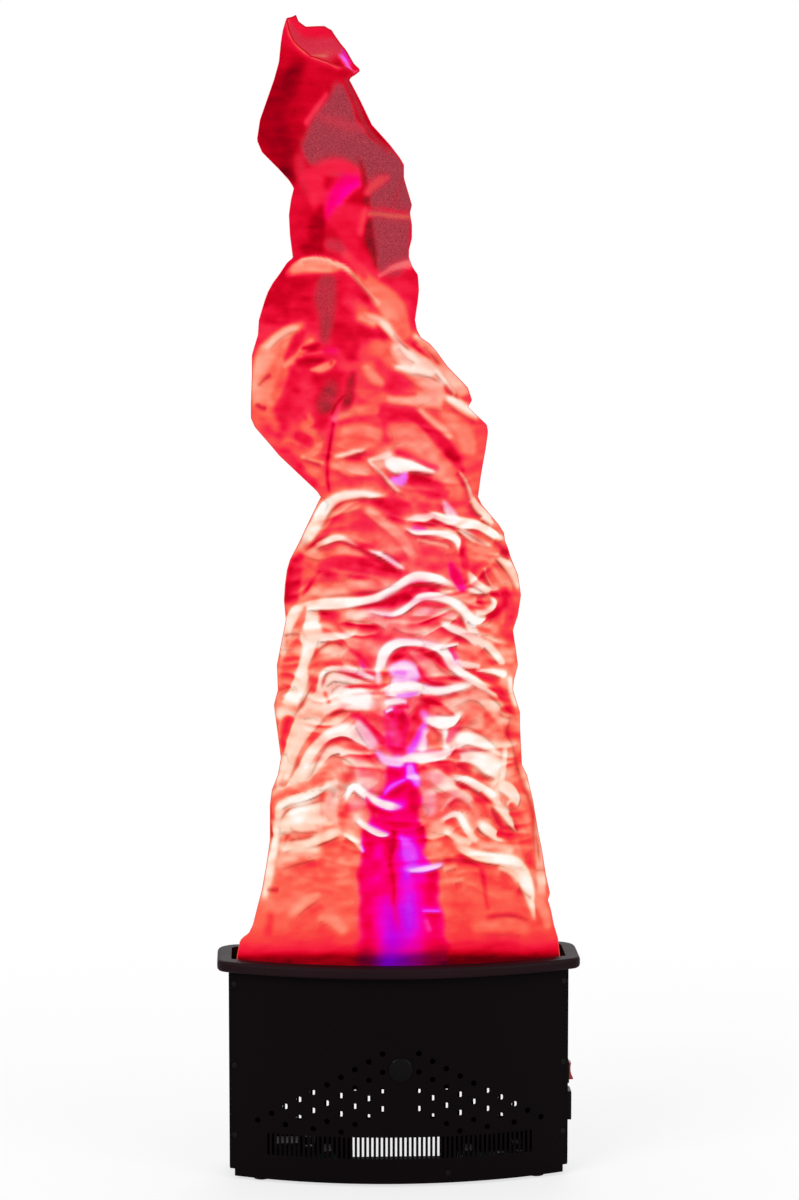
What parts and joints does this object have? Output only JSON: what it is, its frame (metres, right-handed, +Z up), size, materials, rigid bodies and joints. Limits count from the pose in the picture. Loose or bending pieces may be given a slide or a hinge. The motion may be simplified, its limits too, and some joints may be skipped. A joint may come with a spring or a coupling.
{
  "type": "flame effect light",
  "caption": "Silk flame lamp: a bow-fronted black blower base with fans and lamps under its deck, and a tall open silk sleeve",
  "frame": {"origin": "middle of the footprint, on the ground", "axes": "+Z up, the bowed front faces -Y, +X is the side with the switch and the power inlet"},
  "size_m": [0.384, 0.13, 1.2204],
  "materials": {
    "black_paint": "fine matt black powder coat",
    "rim_plastic": "satin black",
    "clamp_plastic": "matt black",
    "silk": "thin flame red silk, lit from below",
    "fan_plastic": "moulded black",
    "bearing_steel": "ground steel",
    "guard_wire": "plated wire",
    "lamp_board": "white solder mask",
    "lens_acrylic": "clear moulded acrylic",
    "heatsink_aluminium": "plain extrusion",
    "circuit_board": "green solder mask",
    "black_plastic": "moulded gloss black",
    "red_plastic": "moulded gloss red",
    "pin_brass": "plated",
    "foot_rubber": "matt",
    "disc_plastic": "gloss black"
  },
  "bodies": {
    "base": {"bottom_pan": "black_paint", "front_panel": "black_paint", "left_side_panel": "black_paint", "right_side_panel": "black_paint", "rear_panel": "black_paint", "top_rim": "rim_plastic", "deck_plate": "black_paint", "silk_clamp_frame": "clamp_plastic", "silk_sleeve": "silk", "fan_frame_left": "fan_plastic", "fan_frame_right": "fan_plastic", "fan_bearing_left": "bearing_steel", "fan_bearing_right": "bearing_steel", "fan_guard_left": "guard_wire", "fan_guard_right": "guard_wire", "lamp_board_left": "lamp_board", "lamp_board_centre": "lamp_board", "lamp_board_right": "lamp_board", "lamp_lens_left": "lens_acrylic", "lamp_lens_centre": "lens_acrylic", "lamp_lens_right": "lens_acrylic", "heatsink_left": "heatsink_aluminium", "heatsink_centre": "heatsink_aluminium", "heatsink_right": "heatsink_aluminium", "power_board": "circuit_board", "control_board": "circuit_board", "switch_frame": "black_plastic", "inlet_body": "black_plastic", "inlet_pin_line": "pin_brass", "inlet_pin_neutral": "pin_brass", "inlet_pin_earth": "pin_brass", "foot_front_left": "foot_rubber", "foot_front_right": "foot_rubber", "foot_rear_left": "foot_rubber", "foot_rear_right": "foot_rubber", "front_disc": "disc_plastic"},
    "left_rotor": {"fan_rotor_left": "fan_plastic"},
    "right_rotor": {"fan_rotor_right": "fan_plastic"},
    "rocker": {"switch_rocker": "red_plastic"}
  },
  "joints": [
    {"name": "fan_left_spin", "type": "hinge", "parent": "base", "child": "left_rotor", "pos_m": [-0.063, 0.0035, 0.2], "axis": [0, 0, 1], "continuous": true},
    {"name": "fan_right_spin", "type": "hinge", "parent": "base", "child": "right_rotor", "pos_m": [0.063, 0.0035, 0.2], "axis": [0, 0, 1], "continuous": true},
    {"name": "switch_rock", "type": "hinge", "parent": "base", "child": "rocker", "pos_m": [0.18, 0.00687, 0.1085], "axis": [0, 1, 0], "range_deg": [0, 16]}
  ]
}
